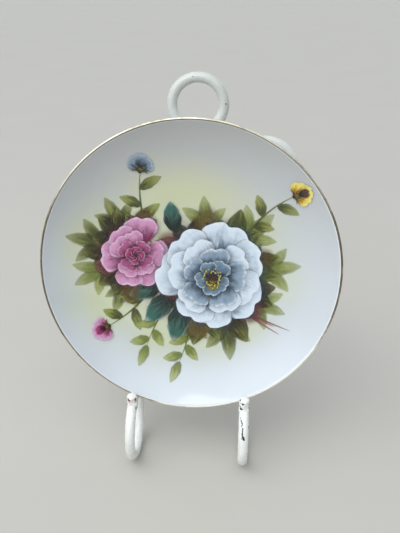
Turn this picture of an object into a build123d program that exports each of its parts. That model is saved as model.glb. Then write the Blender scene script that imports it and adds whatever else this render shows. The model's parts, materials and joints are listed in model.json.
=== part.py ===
"""A shallow porcelain plate with a gilt rim, lifted off a folding stand of bent and painted rod.

Millimetres and degrees. +X is to the right, +Y runs back from the viewer and +Z is up, with the table
at z = 0. The origin is on the table, midway between the line of the front feet and the rear foot.
"""

import os
from math import atan2, cos, degrees, radians, sin, sqrt, tan

from build123d import *

# The plate
plate_radius = 95.0
plate_height = 23.0  # from the plane of the rim to the face of the foot ring
well_depth = 16.5  # from the plane of the rim to the middle of the well
well_slope = 2.4  # where the well meets the wall
rim_slope = 38.0  # where the wall meets the lip
lip_radius = 0.85
base_thickness = 3.8
foot_ring_radius = 53.0
foot_ring_width = 3.4
foot_ring_height = 2.6
foot_ring_taper = 0.9
foot_ring_fillet = 0.8
gilding_thickness = 0.3

# The stand
lean = 10.1
rod_radius = 3.25
foot_radius = 21.1
foot_tail = 24.0  # how far each foot loop runs on past its top
foot_spacing = 74.4
sweep_rise = 31.0  # from the seat of the rim to where the uprights begin to sweep outwards
lobe_radius = 19.5
lobe_below_ring = 41.0
ring_radius = 16.1
ring_shift = 2.5  # how far to the right of the middle the ring and the lobes were bent
ring_rise = 6.0  # from the top of the plate to the middle of the handle ring
neck_radius = 12.2
collar_height = 8.0
collar_wall = 1.5
lower_bar_rise = 19.0  # from the seat of the rim to the lower crossbar
hinge_bar_v = 45.0
bar_radius = 2.75
tip_radius = 3.3
tip_rise = 7.0  # from the lowest edge of the rim there to the top of the upturned tip
tip_lean = 6.0

# The rear leg and its hinge
leg_angle = 22.0  # off the vertical, with the leg open
leg_radius = 3.25
pin_radius = 2.0
pin_head_radius = 3.6
pin_head_height = 1.5
sheet = 2.0
ear_radius = 5.5
pin_standoff = 8.0  # from the web of the bracket to the pin
eye_radius = 4.6
eye_length = 12.0
heel_half_width = 2.6
web_margin = 1.5  # how far the web reaches past the heel that stops on it

# Clearances
seat_gap = 0.3
running_gap = 0.05
side_gap = 0.3
stop_gap = 0.3
pinch_gap = 0.4

# The side view: the foot loops carry the rim, and the frame leans at the plate's own angle
lean_sin, lean_cos = sin(radians(lean)), cos(radians(lean))
rim_radius = plate_radius + gilding_thickness
half_spacing = foot_spacing / 2
loop_centre_z = rod_radius + foot_radius
seat_drop = sqrt((rim_radius + rod_radius + seat_gap) ** 2 - half_spacing**2)
rim_centre_z = loop_centre_z + foot_radius + seat_drop * lean_cos
frame_gap = plate_height + seat_gap + rod_radius
frame_z = rim_centre_z - frame_gap * lean_sin

# The frame meets the loops in a tangent, and the origin lies midway between front and rear feet
tangent_z = loop_centre_z - foot_radius * lean_sin
loop_from_frame_y = (tangent_z - frame_z) * tan(radians(lean)) - foot_radius * lean_cos
pin_back = bar_radius + sheet + pin_standoff
pin_from_frame_y = hinge_bar_v * lean_sin + pin_back * lean_cos
pin_z = frame_z + hinge_bar_v * lean_cos - pin_back * lean_sin
leg_sin, leg_cos = sin(radians(leg_angle)), cos(radians(leg_angle))
leg_length = (pin_z - leg_radius) / leg_cos
foot_from_frame_y = pin_from_frame_y + leg_length * leg_sin
frame_y = -(loop_from_frame_y + foot_from_frame_y) / 2
loop_centre_y = frame_y + loop_from_frame_y

# Planes: x to the right, v up along the lean, n square to it and towards the viewer
towards_viewer = Vector(0, -lean_cos, lean_sin)
up_the_lean = Vector(0, lean_sin, lean_cos)
frame_plane = Plane(origin=(0, frame_y, frame_z), x_dir=(1, 0, 0), z_dir=towards_viewer)
rim_centre = frame_plane.origin + towards_viewer * frame_gap
plate_axis = Axis(rim_centre, towards_viewer)
section_plane = Plane(origin=rim_centre, x_dir=(1, 0, 0), z_dir=-up_the_lean)
pin_centre = Vector(0, frame_y + pin_from_frame_y, pin_z)

# The plate's upper face: a slightly dished well, then one arc up to the lip
slope_tangent = tan(radians(well_slope / 2))
slope_sin, slope_cos = sin(radians(well_slope)), cos(radians(well_slope))
rim_sin, rim_cos = sin(radians(rim_slope)), cos(radians(rim_slope))
wall_top = Vector(plate_radius - lip_radius * (1 + rim_sin), lip_radius * (rim_cos - 1))
wall_run = (rim_sin - slope_sin) / (slope_cos - rim_cos)
wall_rise = well_depth + wall_top.Y
well_radius = (wall_top.X - wall_rise * wall_run) / (1 - slope_tangent * wall_run)
well_edge = Vector(well_radius, well_radius * slope_tangent - well_depth)
lip_centre = Vector(plate_radius - lip_radius, -lip_radius)
base_level = -(well_depth + base_thickness)
foot_outer = foot_ring_radius + foot_ring_width / 2
foot_inner = foot_ring_radius - foot_ring_width / 2

with BuildPart() as plate_body:
    with BuildSketch(section_plane):
        with BuildLine():
            well = TangentArc((0, -well_depth), well_edge, tangent=(1, 0))
            wall = TangentArc(well @ 1, wall_top, tangent=well % 1)
            lip = JernArc(wall @ 1, wall % 1, lip_radius, -180)
            foot_top = (foot_outer + foot_ring_taper, foot_ring_height - plate_height)
            underside = TangentArc(lip @ 1, foot_top, tangent=lip % 1)
            foot = FilletPolyline(
                foot_top,
                (foot_outer, -plate_height),
                (foot_inner, -plate_height),
                (foot_inner - foot_ring_taper, base_level),
                (0, base_level),
                radius=foot_ring_fillet,
            )
            Line(foot @ 1, well @ 0)
        make_face()
    revolve(axis=plate_axis)
plate_body.part.label = "plate_body"

with BuildPart() as rim_gilding:
    with BuildSketch(section_plane):
        with BuildLine():
            start_angle = rim_slope + 90
            inner = CenterArc(lip_centre, lip_radius, start_angle, -180)
            outer = CenterArc(lip_centre, lip_radius + gilding_thickness, start_angle, -180)
            Line(inner @ 0, outer @ 0)
            Line(inner @ 1, outer @ 1)
        make_face()
    revolve(axis=plate_axis)
rim_gilding.part.label = "rim_gilding"

# The outline of the frame: ring, neck, lobe and upright meet in tangents
pinch_x = rod_radius + pinch_gap / 2
side_start_v = sweep_rise - seat_drop
lower_bar_v = lower_bar_rise - seat_drop
ring_v = plate_radius + ring_rise
lobe_centre_v = ring_v - lobe_below_ring
neck_x = pinch_x + neck_radius
neck_v = ring_v - sqrt((ring_radius - pinch_x) * (ring_radius + pinch_x + 2 * neck_radius))
lobe_x = neck_x + sqrt((lobe_radius + neck_radius) ** 2 - (neck_v - lobe_centre_v) ** 2)
lobe_drop = lobe_centre_v - side_start_v
ring_turn = degrees(atan2(ring_v - neck_v, neck_x))
neck_turn = 180 - degrees(atan2(neck_v - lobe_centre_v, lobe_x - neck_x))
upright_end_v = lower_bar_v - 2 * bar_radius


def flank_arc(side):
    """Radius and turn of the arc from an upright to its lobe, with side 1 on the right and -1 on the left."""
    lobe_offset = half_spacing - lobe_x - side * ring_shift
    radius = (lobe_offset**2 + lobe_drop**2 - lobe_radius**2) / (2 * (lobe_radius - lobe_offset))
    return radius, degrees(atan2(lobe_drop, radius + lobe_offset))


def side_x(side, v):
    """How far the middle of a side rod stands from the centre plane at height v."""
    radius, _ = flank_arc(side)
    rise = max(v - side_start_v, 0)
    return half_spacing + radius - sqrt(radius**2 - rise**2)


def frame_point(x, v):
    """A point in the middle plane of the frame."""
    return frame_plane.from_local_coords(Vector(x, v, 0))


def side_plane(x):
    """A plane across the stand, with y to its right and z up."""
    return Plane(origin=(x, 0, 0), x_dir=(0, 1, 0), z_dir=(1, 0, 0))


with BuildPart() as handle_ring:
    with BuildLine(frame_plane) as path:
        rise = JernArc((ring_shift + pinch_x, neck_v), (0, 1), neck_radius, -ring_turn)
        ring = JernArc(rise @ 1, rise % 1, ring_radius, 180 + 2 * ring_turn)
        JernArc(ring @ 1, ring % 1, neck_radius, -ring_turn)
    with BuildSketch(Plane(origin=path.line @ 0, z_dir=path.line % 0)):
        Circle(rod_radius)
    sweep(path=path.line)
handle_ring.part.label = "handle_ring"


def side_rod(name, side):
    """Neck, lobe, flank and upright in one rod, on a plane whose x runs out to that side."""
    flank_radius, flank_turn = flank_arc(side)
    outwards = Plane(origin=frame_plane.origin, x_dir=(side, 0, 0), z_dir=towards_viewer * side)
    with BuildPart() as rod:
        with BuildLine(outwards) as path:
            neck = JernArc((pinch_x + side * ring_shift, neck_v), (0, -1), neck_radius, neck_turn)
            lobe = JernArc(neck @ 1, neck % 1, lobe_radius, -(neck_turn + flank_turn))
            flank = JernArc(lobe @ 1, lobe % 1, flank_radius, flank_turn)
            Line(flank @ 1, (half_spacing, upright_end_v))
        with BuildSketch(Plane(origin=path.line @ 0, z_dir=path.line % 0)):
            Circle(rod_radius)
        sweep(path=path.line)
    rod.part.label = name
    return rod


left_side_rod = side_rod("left_side_rod", -1)
right_side_rod = side_rod("right_side_rod", 1)

with BuildPart() as neck_collar:
    with BuildSketch(Plane(origin=frame_point(ring_shift, neck_v), x_dir=(1, 0, 0), z_dir=up_the_lean)):
        SlotCenterToCenter(2 * pinch_x, 2 * (rod_radius + collar_wall))
    extrude(amount=collar_height / 2, both=True)
    fillet(edges().group_by(Axis(rim_centre, up_the_lean))[0], collar_wall / 2)
    fillet(edges().group_by(Axis(rim_centre, up_the_lean))[-1], collar_wall / 2)
    for rod in (handle_ring, left_side_rod, right_side_rod):
        add(rod.part, mode=Mode.SUBTRACT)
neck_collar.part.label = "neck_collar"

with BuildPart() as lower_crossbar:
    with BuildSketch(Plane(origin=frame_point(0, lower_bar_v), x_dir=(0, 1, 0), z_dir=(1, 0, 0))):
        Circle(bar_radius)
    extrude(amount=half_spacing, both=True)
    for rod in (left_side_rod, right_side_rod):
        add(rod.part, mode=Mode.SUBTRACT)
lower_crossbar.part.label = "lower_crossbar"

with BuildPart() as hinge_crossbar:
    with BuildSketch(Plane(origin=frame_point(0, hinge_bar_v), x_dir=(0, 1, 0), z_dir=(1, 0, 0))) as hinge_section:
        Circle(bar_radius)
    for side in (-1, 1):
        extrude(hinge_section.sketch, amount=side * side_x(side, hinge_bar_v))
    for rod in (left_side_rod, right_side_rod):
        add(rod.part, mode=Mode.SUBTRACT)
hinge_crossbar.part.label = "hinge_crossbar"


def foot_loop(name, x):
    """One rod from the foot of an upright, round under the stand and up to carry the rim."""
    with BuildPart() as loop:
        with BuildLine(side_plane(x)) as path:
            top = frame_point(x, upright_end_v)
            shank = Line((top.Y, top.Z), (loop_centre_y + foot_radius * lean_cos, tangent_z))
            bend = JernArc(shank @ 1, shank % 1, foot_radius, -(270 - lean + foot_tail))
        with BuildSketch(Plane(origin=path.line @ 0, z_dir=path.line % 0)):
            Circle(rod_radius)
        sweep(path=path.line)
        with Locations(bend @ 1):
            Sphere(rod_radius)
    loop.part.label = name
    return loop


left_foot_loop = foot_loop("left_foot_loop", -half_spacing)
right_foot_loop = foot_loop("right_foot_loop", half_spacing)

# The upturned tips stand on the loops just in front of the rim
rim_drop = sqrt(rim_radius**2 - half_spacing**2)
rim_front_y = rim_centre.Y - rim_drop * lean_sin - gilding_thickness
rim_low_z = rim_centre.Z - rim_drop * lean_cos
tip_height = rim_low_z + tip_rise - tip_radius - loop_centre_z - foot_radius


def rim_hook(name, x, loop):
    """A short rod coped onto a foot loop, which keeps the rim from sliding forwards."""
    with BuildPart() as hook:
        foot = Vector(x, rim_front_y - seat_gap - tip_radius, loop_centre_z + foot_radius)
        rise = Vector(0, -sin(radians(tip_lean)), cos(radians(tip_lean)))
        with BuildSketch(Plane(origin=foot, z_dir=rise)):
            Circle(tip_radius)
        extrude(amount=tip_height)
        with Locations(foot + rise * tip_height):
            Sphere(tip_radius)
        add(loop.part, mode=Mode.SUBTRACT)
    hook.part.label = name
    return hook


left_rim_hook = rim_hook("left_rim_hook", -half_spacing, left_foot_loop)
right_rim_hook = rim_hook("right_rim_hook", half_spacing, right_foot_loop)

# The hinge: a folded bracket on the crossbar, a riveted pin, and a forged eye on the leg
fold_angle = leg_angle + lean
fold_sin, fold_cos = sin(radians(fold_angle)), cos(radians(fold_angle))
heel_length = (pin_standoff - stop_gap - heel_half_width * fold_cos) / fold_sin
web_top = heel_length * fold_cos + web_margin
slot_width = eye_length + 2 * side_gap
bracket_width = slot_width + 2 * sheet
hinge_plane = Plane(
    origin=frame_point(0, hinge_bar_v), x_dir=-towards_viewer, z_dir=(1, 0, 0)
)
leg_direction = Vector(0, leg_sin, -leg_cos)
leg_plane = Plane(origin=pin_centre, x_dir=leg_direction, z_dir=(1, 0, 0))

with BuildPart() as hinge_pin:
    with BuildSketch(hinge_plane):
        with Locations((pin_back, 0)):
            Circle(pin_radius)
    extrude(amount=bracket_width / 2 + pin_head_height, both=True)
    for side in (-1, 1):
        with BuildSketch(hinge_plane.offset(side * bracket_width / 2)):
            with Locations((pin_back, 0)):
                Circle(pin_head_radius)
        extrude(amount=side * pin_head_height)
    fillet(edges().group_by(Axis.X)[0], pin_head_height / 2)
    fillet(edges().group_by(Axis.X)[-1], pin_head_height / 2)
hinge_pin.part.label = "hinge_pin"

with BuildPart() as hinge_bracket:
    with BuildSketch(hinge_plane):
        with Locations((bar_radius, -ear_radius)):
            Rectangle(pin_back - bar_radius, 2 * ear_radius, align=(Align.MIN, Align.MIN))
            Rectangle(sheet, ear_radius + web_top, align=(Align.MIN, Align.MIN))
        with Locations((pin_back, 0)):
            Circle(ear_radius)
    extrude(amount=bracket_width / 2, both=True)
    with BuildSketch(hinge_plane):
        with Locations((bar_radius + sheet, 0)):
            Rectangle(pin_back + ear_radius, 4 * ear_radius, align=(Align.MIN, Align.CENTER))
    extrude(amount=slot_width / 2, both=True, mode=Mode.SUBTRACT)
    add(hinge_pin.part, mode=Mode.SUBTRACT)
hinge_bracket.part.label = "hinge_bracket"

with BuildPart() as leg_eye:
    with BuildSketch(leg_plane):
        Circle(eye_radius)
        Rectangle(heel_length, 2 * heel_half_width, align=(Align.MAX, Align.CENTER))
        Circle(pin_radius + running_gap, mode=Mode.SUBTRACT)
    extrude(amount=eye_length / 2, both=True)
leg_eye.part.label = "leg_eye"

with BuildPart() as rear_leg:
    with BuildSketch(Plane(origin=pin_centre, z_dir=leg_direction)):
        Circle(leg_radius)
    extrude(amount=leg_length)
    with Locations(pin_centre + leg_direction * leg_length):
        Sphere(leg_radius)
    with BuildSketch(leg_plane):
        Circle(eye_radius)
    extrude(amount=eye_length, both=True, mode=Mode.SUBTRACT)
rear_leg.part.label = "rear_leg"

os.makedirs("parts", exist_ok=True)
for piece in (
    plate_body,
    rim_gilding,
    handle_ring,
    left_side_rod,
    right_side_rod,
    neck_collar,
    lower_crossbar,
    hinge_crossbar,
    left_foot_loop,
    right_foot_loop,
    left_rim_hook,
    right_rim_hook,
    hinge_bracket,
    hinge_pin,
    leg_eye,
    rear_leg,
):
    export_step(piece.part, f"parts/{piece.part.label}.step")

for name, point in (
    ("rim centre", rim_centre),
    ("plate axis", towards_viewer),
    ("hinge pin", pin_centre),
    ("frame origin", frame_plane.origin),
    ("handle ring", frame_point(ring_shift, ring_v)),
    ("loop centre", Vector(half_spacing, loop_centre_y, loop_centre_z)),
    ("right lobe", frame_point(ring_shift + lobe_x, lobe_centre_v)),
    ("left lobe", frame_point(ring_shift - lobe_x, lobe_centre_v)),
):
    print(f"{name}: {point.X:.3f}, {point.Y:.3f}, {point.Z:.3f}")
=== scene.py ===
import json
import math
import random
import bpy
import bmesh
from mathutils import Matrix, Vector, noise

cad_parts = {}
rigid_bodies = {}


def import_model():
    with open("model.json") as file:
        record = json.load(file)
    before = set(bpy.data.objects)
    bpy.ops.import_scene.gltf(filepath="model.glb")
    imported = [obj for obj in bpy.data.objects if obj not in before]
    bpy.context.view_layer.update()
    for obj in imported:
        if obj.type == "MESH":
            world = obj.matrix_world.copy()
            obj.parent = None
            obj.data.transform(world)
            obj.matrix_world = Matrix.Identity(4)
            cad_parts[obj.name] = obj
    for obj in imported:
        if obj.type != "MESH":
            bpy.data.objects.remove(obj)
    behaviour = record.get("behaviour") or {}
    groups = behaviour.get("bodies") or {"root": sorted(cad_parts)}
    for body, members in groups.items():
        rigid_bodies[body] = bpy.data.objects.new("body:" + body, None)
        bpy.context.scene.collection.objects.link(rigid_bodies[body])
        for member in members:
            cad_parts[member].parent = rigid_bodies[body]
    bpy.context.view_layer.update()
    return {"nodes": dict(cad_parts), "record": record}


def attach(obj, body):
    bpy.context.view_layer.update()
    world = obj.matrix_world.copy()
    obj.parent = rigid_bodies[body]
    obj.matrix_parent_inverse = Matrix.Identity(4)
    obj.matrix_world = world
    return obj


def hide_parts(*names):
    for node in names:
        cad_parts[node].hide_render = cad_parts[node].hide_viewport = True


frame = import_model()
mounts = {mount["name"]: mount for mount in frame["record"]["mounts"]}
print("frame loaded:", len(frame["nodes"]), "nodes")


# A wire is one socket of a node tree, and arithmetic on it adds the nodes
class Wire:
    def __init__(self, bench, socket):
        self.bench, self.socket = bench, socket

    def maths(self, operation, *others, clamp=False):
        values = {i: value for i, value in enumerate((self,) + others)}
        return self.bench.add("ShaderNodeMath", {"operation": operation, "use_clamp": clamp}, values)

    def __add__(self, other):
        return self.maths("ADD", other)

    __radd__ = __add__

    def __sub__(self, other):
        return self.maths("SUBTRACT", other)

    def __rsub__(self, other):
        return self.bench.add("ShaderNodeMath", {"operation": "SUBTRACT"}, {0: other, 1: self})

    def __mul__(self, other):
        return self.maths("MULTIPLY", other)

    __rmul__ = __mul__

    def __truediv__(self, other):
        return self.maths("DIVIDE", other)

    def __pow__(self, other):
        return self.maths("POWER", other)

    def clamped(self):
        return self.maths("ADD", 0.0, clamp=True)

    def ramp(self, low, high):
        settings = {"interpolation_type": "SMOOTHSTEP", "clamp": True}
        return self.bench.add("ShaderNodeMapRange", settings, {0: self, 1: low, 2: high, 3: 0.0, 4: 1.0})


# A bench adds nodes of any type, with their settings first and then their sockets
class Bench:
    def __init__(self, tree):
        self.tree = tree

    def add(self, kind, settings=None, sockets=None, out=0):
        node = self.tree.nodes.new(kind)
        for name, value in (settings or {}).items():
            setattr(node, name, value)
        for name, value in (sockets or {}).items():
            if isinstance(value, Wire):
                self.tree.links.new(value.socket, node.inputs[name])
            else:
                node.inputs[name].default_value = value
        return Wire(self, node.outputs[out]) if len(node.outputs) else node

    def out(self, wire, name):
        return Wire(self, wire.socket.node.outputs[name])

    def mix(self, factor, first, second):
        settings = {"data_type": "RGBA", "clamp_factor": True}
        return self.add("ShaderNodeMix", settings, {0: factor, 6: first, 7: second}, 2)

    def noise(self, vector, scale, detail=3.0, roughness=0.5):
        sockets = {"Vector": vector, "Scale": scale, "Detail": detail, "Roughness": roughness}
        return self.add("ShaderNodeTexNoise", None, sockets)

    def vector(self, operation, first, second, out=0):
        return self.add("ShaderNodeVectorMath", {"operation": operation}, {0: first, 1: second}, out)

    def combine(self, x, y, z):
        return self.add("ShaderNodeCombineXYZ", None, {0: x, 1: y, 2: z})

    def axes(self, vector):
        split = self.add("ShaderNodeSeparateXYZ", None, {0: vector})
        return [Wire(self, split.socket.node.outputs[i]) for i in range(3)]


def colour(red, green, blue):
    return (red, green, blue, 1.0)


def newMaterial(name):
    material = bpy.data.materials.new(name)
    material.use_nodes = True
    bench = Bench(material.node_tree)
    return material, bench, material.node_tree.nodes["Principled BSDF"]


def plug(bench, shader, name, wire):
    bench.tree.links.new(wire.socket, shader.inputs[name])


def placed(name, mesh, material, body, replaced=()):
    piece = bpy.data.objects.new(name, mesh)
    bpy.context.scene.collection.objects.link(piece)
    if material:
        mesh.materials.clear()
        mesh.materials.append(material)
    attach(piece, body)
    if replaced:
        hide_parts(*replaced)
    return piece


# The camera, the light and the floor
view = {
    "place": (0.0304, -0.3989, 0.3205),
    "pitch": 27.3,
    "yaw": 3.89,
    "lens": 42.7,
}
studio = {
    "horizon": (0.10, 0.10, 0.10),
    "behind": (1.15, 1.15, 1.15),
    "backdrop": (0.66, 0.66, 0.65),
    "zenith": (0.46, 0.52, 0.59),
    "bright": (2.12, 2.24, 2.36),
    "brightAim": (-0.34, -0.44, 0.83),
    "brightReach": (0.45, 0.97),
    "overhead": {
        "place": (-0.36, -0.56, 0.98),
        "aim": (0, -0.06, 0.05),
        "size": (0.85, 0.34),
        "power": 2.2,
        "tint": (1.0, 0.99, 0.97),
    },
    "floor": (0.47, 0.445, 0.40),
    "floorShade": (0.41, 0.388, 0.347),
    "floorReach": 9.0,
    "floorGrain": 9.0,
    "floorRoughness": 0.75,
}


def addCamera():
    camera = bpy.data.cameras.new("camera")
    camera.lens = view["lens"]
    camera.clip_start = 0.01
    holder = bpy.data.objects.new("camera", camera)
    holder.location = view["place"]
    holder.rotation_euler = (math.radians(90 - view["pitch"]), 0, math.radians(view["yaw"]))
    bpy.context.scene.collection.objects.link(holder)
    bpy.context.scene.camera = holder


def addSoftbox(name, place, aim, size, power, tint):
    light = bpy.data.lights.new(name, "AREA")
    light.shape = "RECTANGLE"
    light.size, light.size_y = size
    light.energy = power
    light.color = tint
    holder = bpy.data.objects.new(name, light)
    holder.location = place
    holder.rotation_euler = (Vector(aim) - Vector(place)).to_track_quat("-Z", "Y").to_euler()
    bpy.context.scene.collection.objects.link(holder)


def addSky():
    world = bpy.data.worlds.new("sky")
    world.use_nodes = True
    bench = Bench(world.node_tree)
    toward = bench.add("ShaderNodeTexCoord", None, None, 0)
    _, away, height = bench.axes(toward)
    low = bench.mix(away.ramp(-0.1, 0.75), colour(*studio["horizon"]), colour(*studio["behind"]))
    sky = bench.mix(height.ramp(-0.05, 0.85), low, colour(*studio["zenith"]))
    aim = Vector(studio["brightAim"]).normalized()
    bright = bench.vector("DOT_PRODUCT", toward, tuple(aim), 1).ramp(*studio["brightReach"])
    light = bench.mix(bright, sky, colour(*studio["bright"]))
    seen = bench.add("ShaderNodeLightPath")
    background = world.node_tree.nodes["Background"]
    plug(bench, background, "Color", bench.mix(seen, light, colour(*studio["backdrop"])))
    bpy.context.scene.world = world
    bpy.context.scene.view_settings.view_transform = "Standard"


def addFloor():
    mesh = bpy.data.meshes.new("floor")
    reach = studio["floorReach"]
    corners = [(-reach, -reach, 0), (reach, -reach, 0), (reach, reach, 0), (-reach, reach, 0)]
    mesh.from_pydata(corners, [], [(0, 1, 2, 3)])
    material, bench, shader = newMaterial("paleFloor")
    place = bench.add("ShaderNodeTexCoord", None, None, 3)
    grain = bench.noise(place, studio["floorGrain"], 4.0)
    pale = colour(*studio["floor"])
    plug(bench, shader, "Base Color", bench.mix(grain * 0.5, pale, colour(*studio["floorShade"])))
    shader.inputs["Roughness"].default_value = studio["floorRoughness"]
    mesh.materials.append(material)
    floor = bpy.data.objects.new("floor", mesh)
    bpy.context.scene.collection.objects.link(floor)


addCamera()
addSky()
addSoftbox("overhead", **studio["overhead"])
addFloor()
print("camera, light and floor ready")

# The plate, made from the same sizes as its solid, in its own frame: x, up the lean, out of the dish
plate = {
    "radius": 0.095,
    "height": 0.023,
    "wellDepth": 0.0165,
    "wellSlope": 2.4,
    "rimSlope": 38.0,
    "lip": 0.00085,
    "base": 0.0038,
    "footRadius": 0.053,
    "footWidth": 0.0034,
    "footHeight": 0.0026,
    "footTaper": 0.0009,
    "footRound": 0.0008,
    "baseRings": (0.045, 0.03, 0.0),
    "spokes": 256,
}
footMount = mounts["plate_foot_ring"]
outward = -Vector(footMount["axis"]).normalized()
upLean = outward.cross(Vector((1, 0, 0))).normalized()
rimCentre = Vector(footMount["pos_m"]) + outward * plate["height"]
plateFrame = Matrix.Translation(rimCentre) @ Matrix((
    (1, upLean.x, outward.x), (0, upLean.y, outward.y), (0, upLean.z, outward.z))).to_4x4()


def faceArcs():
    lip = plate["lip"]
    slopeIn, slopeOut = math.radians(plate["wellSlope"]), math.radians(plate["rimSlope"])
    topRadius = plate["radius"] - lip * (1 + math.sin(slopeOut))
    topLevel = lip * (math.cos(slopeOut) - 1)
    run = (math.sin(slopeOut) - math.sin(slopeIn)) / (math.cos(slopeIn) - math.cos(slopeOut))
    lift = math.tan(slopeIn / 2)
    wellRadius = (topRadius - (plate["wellDepth"] + topLevel) * run) / (1 - lift * run)
    wellLevel = wellRadius * lift - plate["wellDepth"]
    wallArc = (topLevel - wellLevel) / (math.cos(slopeIn) - math.cos(slopeOut))
    return wellRadius, wellLevel, wellRadius / math.sin(slopeIn), wallArc, slopeIn, slopeOut


def upperFace(steps=40):
    wellRadius, wellLevel, wellArc, wallArc, slopeIn, slopeOut = faceArcs()
    points = []
    for i in range(steps):
        slope = slopeIn * i / steps
        points.append((wellArc * math.sin(slope), wellArc * (1 - math.cos(slope)) - plate["wellDepth"]))
    for i in range(steps + 1):
        slope = slopeIn + (slopeOut - slopeIn) * i / steps
        radius = wellRadius + wallArc * (math.sin(slope) - math.sin(slopeIn))
        points.append((radius, wellLevel + wallArc * (math.cos(slopeIn) - math.cos(slope))))
    return points


def lipPoints(swell=0.0, steps=14, start=0.0, end=1.0):
    slopeOut, lip = math.radians(plate["rimSlope"]), plate["lip"]
    points = []
    for i in range(steps + 1):
        angle = slopeOut + math.pi / 2 - math.pi * (start + (end - start) * i / steps)
        reach = lip + swell
        points.append((plate["radius"] - lip + reach * math.cos(angle), reach * math.sin(angle) - lip))
    return points


def roundedCorners(points, radius, steps=5):
    result = [points[0]]
    for before, corner, after in zip(points, points[1:], points[2:]):
        inward = (Vector(before) - Vector(corner)).normalized()
        onward = (Vector(after) - Vector(corner)).normalized()
        trim = radius / math.tan(inward.angle(onward) / 2)
        start, end = Vector(corner) + inward * trim, Vector(corner) + onward * trim
        for i in range(steps + 1):
            t = i / steps
            result.append(tuple(start * (1 - t) ** 2 + Vector(corner) * 2 * t * (1 - t) + end * t ** 2))
    return result + [points[-1]]


def lowerFace(steps=24):
    slopeOut = math.radians(plate["rimSlope"])
    startRadius, startLevel = lipPoints()[-1]
    outer = plate["footRadius"] + plate["footWidth"] / 2
    inner = plate["footRadius"] - plate["footWidth"] / 2
    endRadius, endLevel = outer + plate["footTaper"], plate["footHeight"] - plate["height"]
    chordSlope = math.atan2(startLevel - endLevel, startRadius - endRadius)
    endSlope = 2 * chordSlope - slopeOut
    chord = math.hypot(startRadius - endRadius, startLevel - endLevel)
    arc = chord / (2 * math.sin((slopeOut - endSlope) / 2))
    points = []
    for i in range(1, steps):
        slope = slopeOut + (endSlope - slopeOut) * i / steps
        radius = startRadius - arc * (math.sin(slopeOut) - math.sin(slope))
        points.append((radius, startLevel - arc * (math.cos(slope) - math.cos(slopeOut))))
    baseLevel = -plate["wellDepth"] - plate["base"]
    flat = [(radius, baseLevel) for radius in plate["baseRings"]]
    foot = [(endRadius, endLevel), (outer, -plate["height"]), (inner, -plate["height"]),
            (inner - plate["footTaper"], baseLevel), flat[0]]
    return points + roundedCorners(foot, plate["footRound"]) + flat[1:]


def finishedMesh(build, name):
    bmesh.ops.recalc_face_normals(build, faces=build.faces)
    for face in build.faces:
        face.smooth = True
    mesh = bpy.data.meshes.new(name)
    build.to_mesh(mesh)
    build.free()
    return mesh


# Faces from each ring of points to the next, where a ring of one point is a pole
def joinRings(build, rings):
    for first, second in zip(rings, rings[1:]):
        count = max(len(first), len(second))
        for i in range(count):
            j = (i + 1) % count
            corners = [first[i % len(first)], first[j % len(first)]]
            corners += [second[j % len(second)], second[i % len(second)]]
            build.faces.new(list(dict.fromkeys(corners)))


# A profile turned round the plate's axis, with its first points marked as the painted front
def spun(name, profile, fronts=0):
    spokes = plate["spokes"]
    build = bmesh.new()
    rings, isFront = [], []
    for i, (radius, level) in enumerate(profile):
        ring = []
        for j in range(spokes if radius else 1):
            angle = 2 * math.pi * j / spokes
            place = Vector((radius * math.sin(angle), radius * math.cos(angle), level))
            ring.append(build.verts.new(plateFrame @ place))
            isFront.append(1.0 if i < fronts else 0.0)
        rings.append(ring)
    joinRings(build, rings)
    mesh = finishedMesh(build, name)
    mesh.attributes.new("front", "FLOAT", "POINT").data.foreach_set("value", isFront)
    return mesh


def localPlace(bench):
    place = bench.add("ShaderNodeTexCoord", None, None, 3)
    centred = bench.vector("SUBTRACT", place, tuple(rimCentre))
    across = bench.axes(centred)[0]
    up = bench.vector("DOT_PRODUCT", centred, tuple(upLean), 1)
    out = bench.vector("DOT_PRODUCT", centred, tuple(outward), 1)
    return place, across, up, out


glaze = {
    "white": (0.575, 0.607, 0.635),
    "shade": (0.522, 0.557, 0.585),
    "back": (0.76, 0.765, 0.75),
    # Painted shade: a warm grey laid over the top of the face, stronger toward the top
    "ground": (0.37, 0.335, 0.26),
    "groundReach": (-0.01, 0.09),
    "groundStrength": 0.34,
    "glow": (0.56, 0.585, 0.16),
    "glowCentre": (-0.008, 0.0),
    "glowReach": (0.048, 0.079),
    "glowStrength": 0.47,
    "glowWaver": 0.022,
    "blush": (0.20, 0.075, 0.06),
    "blushCentre": (0.004, -0.006),
    "blushReach": (0.016, 0.047),
    "blushStrength": 0.62,
    "blushWaver": 0.05,
    "washStretch": 0.86,
    "foot": (0.74, 0.72, 0.67),
    "grit": (0.35, 0.30, 0.25),
    "bareHeight": (0.0004, 0.0010),
    "bareRadius": (0.045, 0.047),
    "bareRoughness": 0.6,
    "roughness": 0.09,
    "coat": 0.35,
    "coatRoughness": 0.04,
}
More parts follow.
